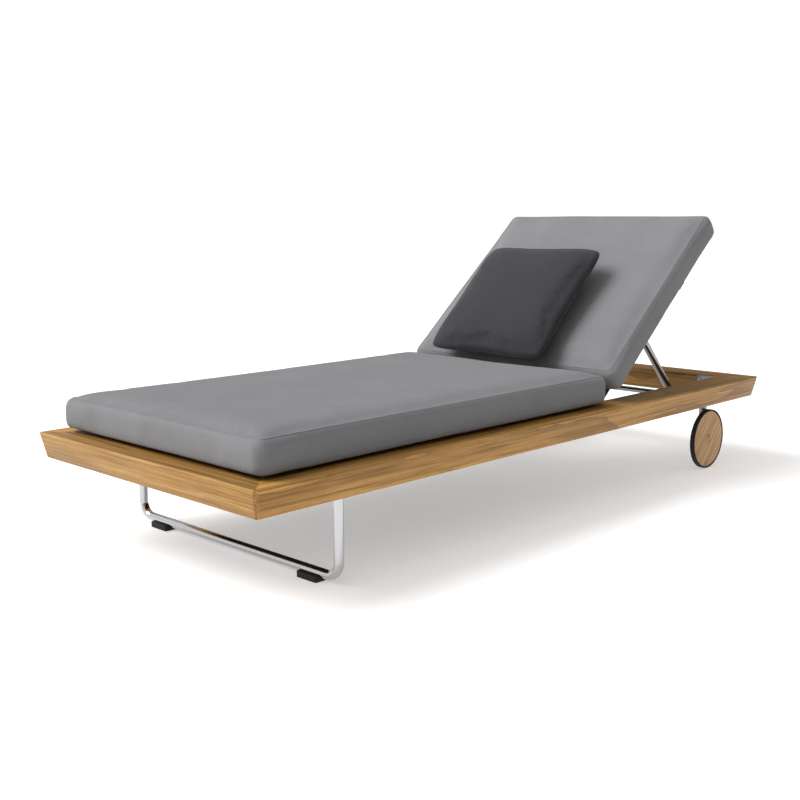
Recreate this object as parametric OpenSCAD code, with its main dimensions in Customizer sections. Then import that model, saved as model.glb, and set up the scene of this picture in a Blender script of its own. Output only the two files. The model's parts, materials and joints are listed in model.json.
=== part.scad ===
// Reclining sun lounger: a mitred timber frame on a U-shaped steel leg and two timber
// wheels, a ratchet backrest held by two struts, two cushions and a throw pillow.
// Millimetres. X is the width, -Y the foot end, +Y the head end, and the ground is Z = 0.

/* [Timber frame] */
// Overall length of the timber frame
frame_l = 2000; // [1850:10:2150]
// Overall width of the timber frame
frame_w = 800; // [720:10:880]
// Height of the frame's top face above the ground
frame_top = 257; // [240:1:290]
// Depth of a rail, top to bottom
rail_h = 61; // [58:1:70]
// Width of a rail seen from above
rail_w = 95; // [85:1:105]
// How far a rail's outer face leans in by its bottom edge
rail_lean = 11; // [4:1:16]
// Offset of the flat on each outer corner
corner_cut = 5; // [2:1:8]
// Side and height of the battens inside the rails
batten = [20, 34]; // [16:0.5:35]

/* [Foot leg] */
// Outer diameter of the U-shaped leg's tube
leg_d = 21.4; // [18:0.2:25.4]
// Wall of the leg's tube
leg_wall = 2; // [1.5:0.5:3]
// Bend radius at the tube's centreline
leg_bend = 35; // [30:1:60]
// Distance of the leg from the foot end of the frame
leg_from_foot = 248; // [200:1:300]
// Distance of each upright's centre from the frame's side
leg_from_side = 45; // [40:1:55]
// Foot pad, across, along and up
pad = [62, 34, 14]; // [12:1:75]
// Height of the tube's underside above the ground
pad_sole = 8.4; // [5:0.1:10]

/* [Wheels] */
// Diameter over the tyre
wheel_d = 178; // [160:1:185]
// Width of the tyre
wheel_t = 14; // [12:1:20]
// Thickness of the rubber tyre
tyre_t = 4; // [3:0.5:8]
// Distance of the wheel's outer face from the frame's side
wheel_from_side = 30; // [26:1:40]
// Distance of the axle from the head end of the frame
wheel_from_head = 243; // [200:1:300]
// Diameter of the axle bolt
axle_d = 12; // [8:1:14]
// Wheel bracket's flat bar, thickness and width
bracket = [10, 28]; // [8:1:34]
// How far the bracket runs below the axle
bracket_tail = 55; // [30:1:60]

/* [Backrest] */
// Angle of the backrest above the horizontal
back_angle = 40.3; // [30:0.1:50]
// Length of the backrest from its hinge to its top end
back_len = 634; // [560:1:700]
// Gap between the backrest and the side rails
back_gap = 5; // [4:0.5:8]
// Thickness of the backrest's black board
board_t = 4; // [3:0.5:6]
// Width and depth of the bars behind the board
bar = [25, 14]; // [12:1:30]
// Diameter of the hinge pins
pin_d = 8; // [6:0.5:9]
// Place of the strut pivot as a share of the backrest's length above the hinge
strut_share = 0.4906; // [0.45:0.001:0.52]
// Distance of the strut pivot behind the hinge's plane
strut_drop = 27.8; // [26:0.1:32]
// Distance from the middle of each strut to the side batten
strut_inset = 28; // [26:1:60]
// Diameter of the struts
strut_d = 23; // [18:0.5:24]
// Length of a strut between its two ends, as a share of the pivot's radius
strut_ratio = 0.955; // [0.93:0.005:0.97]
// Diameter of the cross rod
rod_d = 16; // [12:0.5:18]

/* [Soft parts] */
// Thickness of both cushions
cushion_t = 90; // [70:1:110]
// How far the cushions sit in from the frame's sides
cushion_inset = 38; // [20:1:50]
// How far the seat cushion sits in from the foot end
cushion_from_foot = 42; // [30:1:60]
// Thickness of the strap round the backrest
strap_t = 1.5; // [1:0.1:1.6]
// Width of the strap
strap_w = 25; // [20:1:35]
// Pillow, across, along and through
pillow = [405, 414, 94]; // [80:1:480]
// Place of the pillow's middle across the lounger
pillow_x = -40; // [-100:5:100]
// How much steeper than the backrest the pillow leans
pillow_lean = 3.5; // [0:0.5:5]

/* [Hidden] */
$fn = 64;

// Heights and places of the frame
frame_z = frame_top - rail_h;
inner_x = frame_w / 2 - rail_w;
inner_y = frame_l / 2 - rail_w;
batten_z = frame_z + 1;
batten_top = batten_z + batten[1];
batten_x = inner_x - batten[0];
strut_x = batten_x - strut_inset;
screw_d = 4;

// Corner brackets: an angle with two equal legs
corner_leg = 60;
corner_h = 20;
corner_t = 3;
corner_z = frame_top - corner_h - 1;

// The hinge's axis and the panel, in the backrest's own frame: Y runs up the panel from
// the hinge and Z points out of its cushion side
panel_clear = 9;
hinge_y = inner_y - panel_clear - back_len;
hinge_z = frame_top - 8;
face_z = 8;
rear_z = face_z - bar[1] - board_t;
panel_tail = 14;
panel_l = back_len + panel_tail;
panel_x = inner_x - back_gap;

// Seat deck: hollow bars on the battens with a board on top, flush with the frame
deck_t = 5;
deck_edge = 5;
deck_x = inner_x - deck_edge;
deck_y0 = deck_edge - inner_y;
deck_y1 = hinge_y - 42;
deck_bar_w = 25;
deck_bar_h = frame_top - deck_t - batten_top;
cross_rail_w = 24;

// Hinge plates
plate_t = 3;
plate_l = 80;
pin_end = 25;

// The strut's ends in the side view, with the rod at its rest height
strut_at = strut_share * back_len;
pivot_r = norm([strut_at, strut_drop]);
pivot_a = back_angle - atan2(strut_drop, strut_at);
pivot_y = hinge_y + pivot_r * cos(pivot_a);
pivot_z = hinge_z + pivot_r * sin(pivot_a);
strut_l = strut_ratio * pivot_r;
rod_z = frame_z + 20;
rod_y = pivot_y + sqrt(pow(strut_l, 2) - pow(pivot_z - rod_z, 2));
strut_a = atan2(rod_z - pivot_z, rod_y - pivot_y);
eye_w = 24;
eye_gap = 0.4;

// The ratchet track on each side batten
track_t = 3;
track_y0 = hinge_y + 0.7652 * strut_at;
track_y1 = inner_y - 15;
track_z = frame_z + 2;
track_foot = 11;
tooth_pitch = 40;
tooth_tip = frame_z + 10;
tooth_root = frame_z + 5.5;

// Axle and wheel
axle_y = frame_l / 2 - wheel_from_head;
axle_z = wheel_d / 2;
wheel_x = frame_w / 2 - wheel_from_side;
disc_t = wheel_t - 2;
disc_x = wheel_x - 1 - disc_t;
bracket_x = wheel_x - wheel_t - 5 - bracket[0];
cap_d = 27;
cap_seat = 1.6;
head_well = 5;

// Leg
leg_y = -frame_l / 2 + leg_from_foot;
leg_x = frame_w / 2 - leg_from_side;
leg_z = pad_sole + leg_d / 2;
socket_depth = 30;
bush_t = 2.5;

// Soft parts
soft_x = frame_w / 2 - cushion_inset;
seat_y0 = -frame_l / 2 + cushion_from_foot;
seat_y1 = hinge_y - 47;
cushion_edge = 25;
cushion_gap = 2.2;
back_y0 = 30;
back_l = panel_l + 5;
back_z0 = face_z + cushion_gap;
strap_y = back_y0 + 0.644 * panel_l;
pillow_foot = 8.5;
pillow_y = pillow_foot + pillow[1] / 2;
pillow_core = 0.74;
pillow_shift = 0.1;
pillow_depth = (0.5 - pillow_shift) * pillow[2] + pillow_core / 2 * pillow[1] * sin(pillow_lean);
pillow_z = back_z0 + cushion_t + pillow_depth + 3;

// Colours
timber = [0.72, 0.55, 0.36];
steel = [0.72, 0.72, 0.73];
black = [0.1, 0.1, 0.1];
grey = [0.56, 0.56, 0.57];
charcoal = [0.26, 0.26, 0.28];

// ---- helpers ----

// Points of an arc, for rounding a corner of an outline
function arc(cx, cy, r, a0, a1, n = 6) =
    [for (i = [0:n]) let (a = a0 + (a1 - a0) * i / n) [cx + r * cos(a), cy + r * sin(a)]];

// A rectangle's outline with round corners, centred
function round_rect(w, l, r) = concat(
    arc(w / 2 - r, l / 2 - r, r, 0, 90),
    arc(r - w / 2, l / 2 - r, r, 90, 180),
    arc(r - w / 2, r - l / 2, r, 180, 270),
    arc(w / 2 - r, r - l / 2, r, 270, 360));

// side = 1 draws the right-hand copy at +X, side = -1 mirrors it to -X
module on_side(side) {
    mirror([side < 0 ? 1 : 0, 0, 0]) children();
}

module both_sides() {
    on_side(1) children();
    on_side(-1) children();
}

// Carries the backrest's own frame to its resting angle
module in_back() {
    translate([0, hinge_y, hinge_z]) rotate([back_angle, 0, 0]) children();
}

// A cylinder along +X from x0 to x1
module rod_x(d, x0, x1) {
    translate([x0, 0, 0]) rotate([0, 90, 0]) cylinder(d = d, h = x1 - x0);
}

// A countersunk screw: its head flush with Z = 0 and its shank pointing down
module screw(length) {
    rotate_extrude() polygon([[0, 0], [screw_d, 0], [screw_d, -0.4], [screw_d / 2, -2.6],
        [screw_d / 2, -length + 2], [0, -length]]);
}

// ---- timber frame ----

// A rail's section: X is measured inward from its outer top edge
function rail_outline() = concat(
    arc(4, rail_h - 4, 4, 90, 180),
    arc(rail_lean + 5, 5, 5, 190, 270),
    [[rail_w, 0], [rail_w, rail_h - 1.5], [rail_w - 1.5, rail_h]]);

// One rail, centred along X, with its outer face at Y = 0, mitred at both ends
module rail(length) {
    lean_angle = atan2(rail_lean * sqrt(2), rail_h);
    difference() {
        intersection() {
            rotate([90, 0, 90]) linear_extrude(length, center = true) polygon(rail_outline());
            linear_extrude(rail_h) polygon([[-length / 2, 0], [length / 2, 0],
                [length / 2 - rail_w, rail_w], [rail_w - length / 2, rail_w]]);
        }
        for (end = [0, 1]) mirror([end, 0, 0])
            translate([length / 2, 0, rail_h]) rotate([0, 0, -45]) rotate([0, lean_angle, 0])
                translate([-corner_cut, -50, -2 * rail_h]) cube([60, 100, 3 * rail_h]);
    }
}

module foot_rail() {
    color(timber) translate([0, -frame_l / 2, frame_z]) rail(frame_w);
}

module head_rail() {
    color(timber) translate([0, frame_l / 2, frame_z]) rotate([0, 0, 180]) rail(frame_w);
}

module side_rail(side) {
    color(timber) on_side(side) difference() {
        translate([frame_w / 2, 0, frame_z]) rotate([0, 0, 90]) rail(frame_l);
        translate([leg_x, leg_y, frame_z - 1]) cylinder(d = leg_d + 2 * bush_t, h = socket_depth + 1);
        translate([0, hinge_y, hinge_z]) rod_x(pin_d, inner_x - 1, inner_x + pin_end);
    }
}

// Places its children at the four inner corners, X and Y pointing along the two rails
module at_corners() {
    for (mx = [0, 1], my = [0, 1])
        mirror([mx, 0, 0]) mirror([0, my, 0]) translate([inner_x, inner_y, 0]) children();
}

// Two screws through each leg of a corner bracket, heads flush with its inner face
module corner_fixings() {
    for (at = [18, 46]) {
        translate([-at, -corner_t, corner_z + corner_h / 2]) rotate([90, 0, 0]) screw(22);
        translate([-corner_t, -at, corner_z + corner_h / 2]) rotate([0, -90, 0]) screw(22);
    }
}

module corner_brackets() {
    color(steel) at_corners() difference() {
        translate([-corner_leg, -corner_leg, corner_z]) cube([corner_leg, corner_leg, corner_h]);
        translate([-corner_leg - corner_t, -corner_leg - corner_t, corner_z - 1])
            cube([corner_leg, corner_leg, corner_h + 2]);
        corner_fixings();
    }
}

module corner_screws() {
    color(steel) at_corners() corner_fixings();
}

// Battens along the side rails' inner faces, full length between the end rails
module side_batten(side) {
    color(timber) on_side(side) translate([batten_x, -inner_y, batten_z])
        cube([batten[0], 2 * inner_y, batten[1]]);
}

module batten_foot() {
    color(timber) translate([-batten_x, -inner_y, batten_z]) cube([2 * batten_x, batten[0], batten[1]]);
}

module cross_rail() {
    color(timber) translate([-batten_x, deck_y1 - cross_rail_w - 6, batten_z])
        cube([2 * batten_x, cross_rail_w, batten[1]]);
}

// ---- seat deck ----

// A straight hollow bar of rectangular section, lying along Y from the origin
module hollow_bar(w, length, h) {
    wall = 2;
    difference() {
        cube([w, length, h]);
        translate([wall, -1, wall]) cube([w - 2 * wall, length + 2, h - 2 * wall]);
    }
}

module seat_bar(side) {
    color(black) on_side(side) translate([deck_x - deck_bar_w, deck_y0, batten_top])
        hollow_bar(deck_bar_w, deck_y1 - deck_y0, deck_bar_h);
}

module seat_cross(y) {
    color(black) translate([deck_x - deck_bar_w, y, batten_top]) rotate([0, 0, 90])
        hollow_bar(deck_bar_w, 2 * (deck_x - deck_bar_w), deck_bar_h);
}

module seat_cross_bars() {
    for (share = [1 / 3, 2 / 3]) 
        seat_cross(deck_y0 + (deck_y1 - deck_y0) * share - deck_bar_w / 2);
}

module seat_board() {
    color(black) translate([-deck_x, deck_y0, frame_top - deck_t])
        cube([2 * deck_x, deck_y1 - deck_y0, deck_t]);
}

// ---- hinge ----

module hinge_plate(side) {
    z0 = batten_top + 1;
    color(steel) on_side(side) difference() {
        translate([inner_x - plate_t, hinge_y - plate_l / 2, z0])
            cube([plate_t, plate_l, frame_top - 1 - z0]);
        translate([0, hinge_y, hinge_z]) rod_x(pin_d, inner_x - 10, inner_x + 1);
    }
}

module hinge_pins() {
    color(steel) both_sides() translate([0, hinge_y, hinge_z])
        rod_x(pin_d, panel_x - bar[0] + 3, inner_x + pin_end);
}

// ---- ratchet tracks ----

module track(side) {
    color(steel) on_side(side) union() {
        translate([batten_x - track_t, track_y0, track_z])
            cube([track_t, track_y1 - track_y0, batten_top - track_z]);
        translate([batten_x - track_t - track_foot, track_y0, track_z - 2])
            cube([track_foot + track_t, track_y1 - track_y0, 2]);
        translate([batten_x - track_t - track_foot, track_y0, track_z])
            cube([track_foot, track_t, batten_top - track_z]);
    }
}

// Saw teeth that the rod drops behind, one valley under the rod's resting place
module rack(side) {
    first = -floor((rod_y - track_y0 - 30) / tooth_pitch);
    last = floor((track_y1 - rod_y - 20) / tooth_pitch);
    color(timber) on_side(side) translate([batten_x - track_t - track_foot + 0.5, rod_y, 0])
        rotate([90, 0, 90]) linear_extrude(track_foot - 1) polygon(concat(
            [[(first - 0.6) * tooth_pitch, track_z]],
            [for (i = [first:last]) each [
                [(i - 0.5) * tooth_pitch, tooth_tip],
                [i * tooth_pitch - 7, tooth_tip],
                [i * tooth_pitch - 5, tooth_root],
                [i * tooth_pitch + 4, tooth_root]]],
            [[(last + 0.5) * tooth_pitch, tooth_tip], [(last + 0.5) * tooth_pitch, track_z]]));
}

module track_screws() {
    color(steel) both_sides() for (share = [0.08, 0.36, 0.64, 0.92])
        translate([batten_x - track_t, track_y0 + (track_y1 - track_y0) * share, batten_top - 8])
            rotate([0, -90, 0]) screw(16);
}

// ---- foot leg ----

// The leg's section: a ring
module leg_ring() {
    difference() {
        circle(d = leg_d);
        circle(d = leg_d - 2 * leg_wall);
    }
}

// Two uprights, two bends and the bar between them
module leg_tube() {
    color(steel) union() {
        both_sides() {
            translate([leg_x, leg_y, leg_z + leg_bend])
                linear_extrude(frame_z + socket_depth - leg_z - leg_bend) leg_ring();
            translate([leg_x - leg_bend, leg_y, leg_z + leg_bend]) rotate([-90, 0, 0])
                rotate_extrude(angle = 90) translate([leg_bend, 0]) leg_ring();
        }
        translate([leg_bend - leg_x, leg_y, leg_z]) rotate([90, 0, 90])
            linear_extrude(2 * (leg_x - leg_bend)) leg_ring();
    }
}

module leg_bushes() {
    color(steel) both_sides() translate([leg_x, leg_y, frame_z]) difference() {
        union() {
            cylinder(d = leg_d + 2 * bush_t, h = socket_depth);
            translate([0, 0, -1.5]) cylinder(d = leg_d + 2 * bush_t + 6, h = 1.5);
        }
        translate([0, 0, -5]) cylinder(d = leg_d, h = socket_depth + 10);
    }
}

module foot_pad(side) {
    pad_x = leg_x - leg_bend - 49;
    color(black) on_side(side) difference() {
        translate([pad_x, leg_y, 0]) linear_extrude(pad[2]) polygon(round_rect(pad[0], pad[1], 3));
        translate([0, leg_y, leg_z]) rod_x(leg_d, pad_x - pad[0], pad_x + pad[0]);
    }
}

// ---- wheels ----

module wheel_bracket(side) {
    flange = 4;
    color(steel) on_side(side) difference() {
        union() {
            translate([bracket_x, axle_y - bracket[1] / 2, axle_z - bracket_tail])
                cube([bracket[0], bracket[1], frame_z - axle_z + bracket_tail]);
            translate([inner_x + 2, axle_y - 22, frame_z - flange])
                cube([bracket_x + bracket[0] - inner_x - 2, 44, flange]);
        }
        translate([0, axle_y, axle_z]) rod_x(axle_d, bracket_x - 5, bracket_x + bracket[0] + 5);
        bracket_fixings();
    }
}

// The two screws up through the flange
module bracket_fixings() {
    for (y = [-14, 14]) translate([inner_x + 18, axle_y + y, frame_z - 4]) rotate([180, 0, 0]) screw(30);
}

module bracket_screws() {
    color(steel) both_sides() bracket_fixings();
}

module axle_bolt(side) {
    color(steel) on_side(side) translate([0, axle_y, axle_z]) {
        rod_x(axle_d, bracket_x - 9, disc_x + disc_t - head_well - cap_seat + 0.5);
        rod_x(20, disc_x + disc_t - head_well - cap_seat + 0.5, disc_x + disc_t - cap_seat - 0.5);
        translate([bracket_x - 7, 0, 0]) rotate([0, 90, 0]) cylinder(d = 21, h = 7, $fn = 6);
    }
}

module axle_spacers() {
    color(steel) both_sides() translate([0, axle_y, axle_z]) difference() {
        rod_x(22, bracket_x + bracket[0], disc_x - 0.5);
        rod_x(axle_d, bracket_x, disc_x);
    }
}

// The timber disc, turned from its section, with a well for the bolt's head
module wheel_disc(side) {
    disc_r = wheel_d / 2 - tyre_t;
    bore_r = axle_d / 2 + 0.1;
    color(timber) on_side(side) translate([disc_x, axle_y, axle_z]) rotate([0, 90, 0])
        rotate_extrude() polygon(concat(
            [[bore_r, 0], [disc_r - 2, 0], [disc_r, 2]],
            arc(disc_r - 3, disc_t - 3, 3, 0, 90, 5),
            [[cap_d / 2, disc_t], [cap_d / 2, disc_t - cap_seat], [11.5, disc_t - cap_seat],
             [11.5, disc_t - cap_seat - head_well], [bore_r, disc_t - cap_seat - head_well]]));
}

module tyre(side) {
    r = wheel_d / 2;
    color(black) on_side(side) translate([wheel_x - wheel_t, axle_y, axle_z]) rotate([0, 90, 0])
        rotate_extrude() polygon([[r - tyre_t, 0], [r - 1, 0], [r, 1], [r, wheel_t - 1],
            [r - 1, wheel_t], [r - tyre_t, wheel_t]]);
}

module hub_cap(side) {
    dome = 3;
    dome_r = (pow(cap_d / 2, 2) + pow(dome, 2)) / (2 * dome);
    dome_a = asin(cap_d / 2 / dome_r);
    color(timber) on_side(side) translate([disc_x + disc_t - cap_seat, axle_y, axle_z]) rotate([0, 90, 0])
        rotate_extrude() polygon(concat([[0, 0], [cap_d / 2, 0]],
            arc(0, cap_seat + dome - dome_r, dome_r, 90 - dome_a, 90, 8)));
}

// ---- backrest ----

module back_bar(side) {
    color(black) in_back() on_side(side) difference() {
        translate([panel_x - bar[0], -panel_tail, face_z - bar[1]]) cube([bar[0], panel_l, bar[1]]);
        rod_x(pin_d + 0.1, panel_x - bar[0] - 1, panel_x + 1);
    }
}

// A bar across the backrest between the side bars
module back_cross(y) {
    color(black) in_back() translate([bar[0] - panel_x, y, face_z - bar[1]])
        cube([2 * (panel_x - bar[0]), bar[0], bar[1]]);
}

module back_board() {
    color(black) in_back() difference() {
        translate([-panel_x, -panel_tail, rear_z]) cube([2 * panel_x, panel_l, board_t]);
        board_fixings();
    }
}

module board_fixings() {
    for (side = [-1, 1], share = [0.06, 0.35, 0.65, 0.94])
        translate([side * (panel_x - bar[0] / 2), share * back_len, rear_z]) rotate([180, 0, 0]) screw(11);
}

module board_screws() {
    color(black) in_back() board_fixings();
}

// A clevis on the back of the board: a base plate and two round-ended ears
module strut_bracket(side) {
    base_t = 3;
    ear_in = eye_w / 2 + eye_gap;
    color(steel) in_back() on_side(side) translate([strut_x, strut_at, 0]) difference() {
        union() {
            translate([-ear_in - base_t, -20, rear_z - base_t]) cube([2 * (ear_in + base_t), 40, base_t]);
            for (x = [-ear_in - base_t, ear_in]) {
                translate([0, 0, -strut_drop]) rod_x(24, x, x + base_t);
                translate([x, -12, -strut_drop]) cube([base_t, 24, strut_drop + rear_z]);
            }
        }
        translate([0, 0, -strut_drop]) rod_x(pin_d, -ear_in - 5, ear_in + 5);
    }
}

module strut_pins() {
    reach = eye_w / 2 + eye_gap + 3;
    color(steel) in_back() both_sides() translate([strut_x, strut_at, -strut_drop]) {
        rod_x(pin_d, -reach, reach);
        rod_x(13, reach, reach + 2.5);
        rod_x(13, -reach - 2.5, -reach);
    }
}

// ---- struts ----

module strut(side) {
    color(steel) on_side(side) translate([strut_x, pivot_y, pivot_z]) rotate([strut_a, 0, 0]) difference() {
        union() {
            rotate([-90, 0, 0]) cylinder(d = strut_d, h = strut_l);
            rod_x(strut_d, -eye_w / 2, eye_w / 2);
            translate([0, strut_l, 0]) rod_x(strut_d + 1, -eye_w / 2, eye_w / 2);
        }
        rod_x(pin_d + 0.1, -20, 20);
        translate([0, strut_l, 0]) rod_x(rod_d, -20, 20);
    }
}

module cross_rod() {
    reach = batten_x - track_t - 2;
    color(steel) translate([0, rod_y, rod_z]) rod_x(rod_d, -reach, reach);
}

// ---- soft parts ----

module seat_cushion() {
    color(grey) translate([0, (seat_y0 + seat_y1) / 2, frame_top]) linear_extrude(cushion_t)
        polygon(round_rect(2 * soft_x, seat_y1 - seat_y0, cushion_edge));
}

// Its edges are round in the side view, so that its lower end clears the rails as it folds down
module back_cushion() {
    color(grey) in_back() translate([-soft_x, back_y0 + back_l / 2, back_z0 + cushion_t / 2])
        rotate([90, 0, 90]) linear_extrude(2 * soft_x)
            polygon(round_rect(back_l, cushion_t, cushion_edge));
}

// A flat band behind the board, out over its edges and sewn under the cushion's two sides
module back_strap() {
    clear = 0.5;
    end_in = 4;
    under = back_z0 - strap_t - 0.2;
    color(grey) in_back() translate([0, strap_y - strap_w / 2, 0]) union() {
        translate([-panel_x - clear - strap_t, 0, rear_z - clear - strap_t])
            cube([2 * (panel_x + clear + strap_t), strap_w, strap_t]);
        both_sides() {
            translate([panel_x + clear, 0, rear_z - clear - strap_t])
                cube([strap_t, strap_w, under + strap_t - rear_z + clear + strap_t]);
            translate([panel_x + clear, 0, under])
                cube([soft_x - end_in - panel_x - clear, strap_w, strap_t]);
        }
    }
}

// A plump square: a thin slab at the seam and a thicker, smaller one through the middle
module pillow() {
    color(charcoal) in_back() translate([pillow_x, pillow_y, pillow_z]) rotate([pillow_lean, 0, 0]) hull() {
        cube([pillow[0], pillow[1], 14], center = true);
        translate([0, 0, pillow_shift * pillow[2]])
            cube([pillow_core * pillow[0], pillow_core * pillow[1], pillow[2]], center = true);
    }
}

foot_rail();
head_rail();
side_rail(-1);  // side_rail_left
side_rail(1);  // side_rail_right
corner_brackets();
corner_screws();
side_batten(-1);  // batten_left
side_batten(1);  // batten_right
batten_foot();
cross_rail();
seat_bar(-1);  // seat_bar_left
seat_bar(1);  // seat_bar_right
seat_cross(deck_y0);  // seat_bar_foot
seat_cross(deck_y1 - deck_bar_w);  // seat_bar_head
seat_cross_bars();
seat_board();
hinge_plate(-1);  // hinge_plate_left
hinge_plate(1);  // hinge_plate_right
hinge_pins();
track(-1);  // track_left
track(1);  // track_right
rack(-1);  // rack_left
rack(1);  // rack_right
track_screws();
leg_tube();
leg_bushes();
foot_pad(-1);  // foot_pad_left
foot_pad(1);  // foot_pad_right
wheel_bracket(-1);  // wheel_bracket_left
wheel_bracket(1);  // wheel_bracket_right
bracket_screws();
axle_bolt(-1);  // axle_bolt_left
axle_bolt(1);  // axle_bolt_right
axle_spacers();
wheel_disc(-1);  // wheel_disc_left
wheel_disc(1);  // wheel_disc_right
tyre(-1);  // tyre_left
tyre(1);  // tyre_right
hub_cap(-1);  // hub_cap_left
hub_cap(1);  // hub_cap_right
back_bar(-1);  // back_bar_left
back_bar(1);  // back_bar_right
back_cross(back_len - bar[0]);  // back_bar_top
back_cross(-panel_tail);  // back_bar_bottom
back_cross(strut_at - bar[0] / 2);  // back_bar_middle
back_board();
board_screws();
strut_bracket(-1);  // strut_bracket_left
strut_bracket(1);  // strut_bracket_right
strut_pins();
strut(-1);  // strut_left
strut(1);  // strut_right
cross_rod();
seat_cushion();
back_cushion();
back_strap();
pillow();
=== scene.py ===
"""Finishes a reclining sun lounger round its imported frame: timber, steel, cushions and light."""

import json
import math

import bmesh
import bpy
import numpy as np
from bpy.props import FloatProperty, FloatVectorProperty, PointerProperty
from mathutils import Matrix, Vector, noise
from mathutils.bvhtree import BVHTree


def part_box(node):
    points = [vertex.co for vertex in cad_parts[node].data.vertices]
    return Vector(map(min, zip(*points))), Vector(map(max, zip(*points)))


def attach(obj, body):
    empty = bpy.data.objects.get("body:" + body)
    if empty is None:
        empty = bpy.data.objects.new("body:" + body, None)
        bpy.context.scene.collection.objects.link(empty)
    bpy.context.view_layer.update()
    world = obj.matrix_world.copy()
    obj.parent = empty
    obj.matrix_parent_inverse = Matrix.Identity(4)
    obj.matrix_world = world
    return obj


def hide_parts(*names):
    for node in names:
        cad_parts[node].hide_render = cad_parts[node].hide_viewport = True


bl_info = {
    "name": "Reclining sun lounger",
    "version": (1, 0, 0),
    "blender": (4, 5, 0),
    "location": "3D View > Sidebar > Lounger",
    "description": "Builds the timber, steelwork and cushions of a reclining sun lounger",
    "category": "Object",
}

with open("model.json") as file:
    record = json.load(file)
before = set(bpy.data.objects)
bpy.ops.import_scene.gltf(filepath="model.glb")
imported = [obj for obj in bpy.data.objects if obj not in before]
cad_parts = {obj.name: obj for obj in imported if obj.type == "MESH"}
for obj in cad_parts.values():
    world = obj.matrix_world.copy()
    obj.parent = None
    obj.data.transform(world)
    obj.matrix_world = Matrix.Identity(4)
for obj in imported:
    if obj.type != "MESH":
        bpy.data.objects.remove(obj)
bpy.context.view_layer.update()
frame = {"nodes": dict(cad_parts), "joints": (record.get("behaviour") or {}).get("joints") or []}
NODES = frame["nodes"]
HINGE = next(j for j in frame["joints"] if j["name"] == "backrest_hinge")
# The backrest lies flat at the hinge's lower limit, so that limit is its angle at rest.
BACK_ANGLE = -math.radians(HINGE["range_deg"][0])
BACK = Matrix.Translation(HINGE["pos_m"]) @ Matrix.Rotation(BACK_ANGLE, 4, "X")
SIDES = ("left", "right")
X = Vector((1, 0, 0))
Z = Vector((0, 0, 1))


# The timber's tone on each piece, as factors of red, green and blue. The foot and shaded tones
# darken the foot rail, battens, racks and cross rail as painted shade; the side and wheel tones
# lighten the side rails and wheels as painted light.
FOOT_PAINTED_SHADE = (0.9, 0.9, 0.9)
SIDE_PAINTED_LIGHT = (1.22, 1.22, 1.18)
SHADED_TONE = (0.5, 0.38, 0.34)
WHEEL_PAINTED_LIGHT = (1.8, 2.1, 3.4)
PLUG_TONE = (1.5, 1.7, 2.2)


# ---- sizes and colours a user would change ----


def length(name, description, default):
    """A size in metres."""
    return FloatProperty(name=name, description=description, default=default, unit="LENGTH")


def colour(name, description, default):
    """A linear colour."""
    return FloatVectorProperty(
        name=name, description=description, subtype="COLOR", default=default)


class LOUNGER_PG_sizes(bpy.types.PropertyGroup):
    """Sizes of the details that are added to the frame"""

    arris: length("Timber arris", "Radius of the eased timber edges", 0.0020)
    metal_edge: length("Metal edge", "Radius of the broken edges of the steel pieces", 0.0006)
    leg_bend: length("Leg bend", "Bend radius at the leg tube's centreline", 0.035)
    cushion_voxel: length(
        "Cushion mesh", "Mesh size of the cushions while they are filled", 0.0085)
    cushion_cap: length("Cushion swell", "The most that a cushion swells as it is filled", 0.012)
    seam: length("Seam", "Radius of the rolled seams along the cushions' edges", 0.0011)
    stitch_pitch: length("Stitch pitch", "Distance from one stitch to the next", 0.0065)
    thread: length("Thread", "Width of one thread of the cushions' weave", 0.0009)
    strap_thick: length("Strap", "Thickness of the strap's webbing", 0.0015)


class LOUNGER_PG_colours(bpy.types.PropertyGroup):
    """Colours of the finishes"""

    timber_light: colour("Timber, light", "The timber's early growth", (0.505, 0.290, 0.090))
    timber_mid: colour("Timber, middle", "The timber's main colour", (0.392, 0.202, 0.050))
    timber_dark: colour("Timber, dark", "The timber's dark streaks", (0.165, 0.070, 0.018))
    cushion: colour("Cushion", "The cushions' fabric", (0.182, 0.182, 0.189))
    pillow: colour("Pillow", "The pillow's fabric", (0.027, 0.027, 0.030))
    # Also painted shade: this black runs up the cushions' sides along their base and stands in for
    # the shade on their bottoms and there.
    underside_and_shade: colour("Underside", "The mesh fabric below the cushions", (0.012, 0.012, 0.013))
    webbing: colour("Webbing", "The strap's webbing", (0.060, 0.060, 0.063))
    # The struts and cross rod take a darker copy of this colour, as painted shade.
    polished: colour("Polished steel", "The leg and the struts", (0.50, 0.50, 0.515))
    brushed: colour("Brushed steel", "Brackets, tracks and screws", (0.32, 0.32, 0.335))
    black: colour("Black", "Powder coat, laminate and rubber", (0.010, 0.010, 0.011))


def sizes():
    return bpy.context.scene.lounger_sizes


def colours():
    return bpy.context.scene.lounger_colours


# ---- mesh helpers ----


def add_object(name, mesh):
    """A new object for a mesh, linked to the scene."""
    obj = bpy.data.objects.new(name, mesh)
    bpy.context.scene.collection.objects.link(obj)
    return obj


def mesh_from(name, points, faces):
    """A new object from plain points and faces."""
    mesh = bpy.data.meshes.new(name)
    mesh.from_pydata([tuple(p) for p in points], [], faces)
    mesh.update()
    return add_object(name, mesh)


def outward(obj, slivers=False):
    """Merges double points, drops slivers if asked and turns every face to the outside."""
    shape = bmesh.new()
    shape.from_mesh(obj.data)
    bmesh.ops.remove_doubles(shape, verts=shape.verts, dist=1e-6)
    if slivers:
        bmesh.ops.dissolve_degenerate(shape, edges=shape.edges, dist=1e-7)
    bmesh.ops.recalc_face_normals(shape, faces=shape.faces)
    shape.to_mesh(obj.data)
    shape.free()
    return obj


def set_all(target, settings):
    """Sets several attributes of one thing."""
    for key, value in settings.items():
        setattr(target, key, value)


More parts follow.
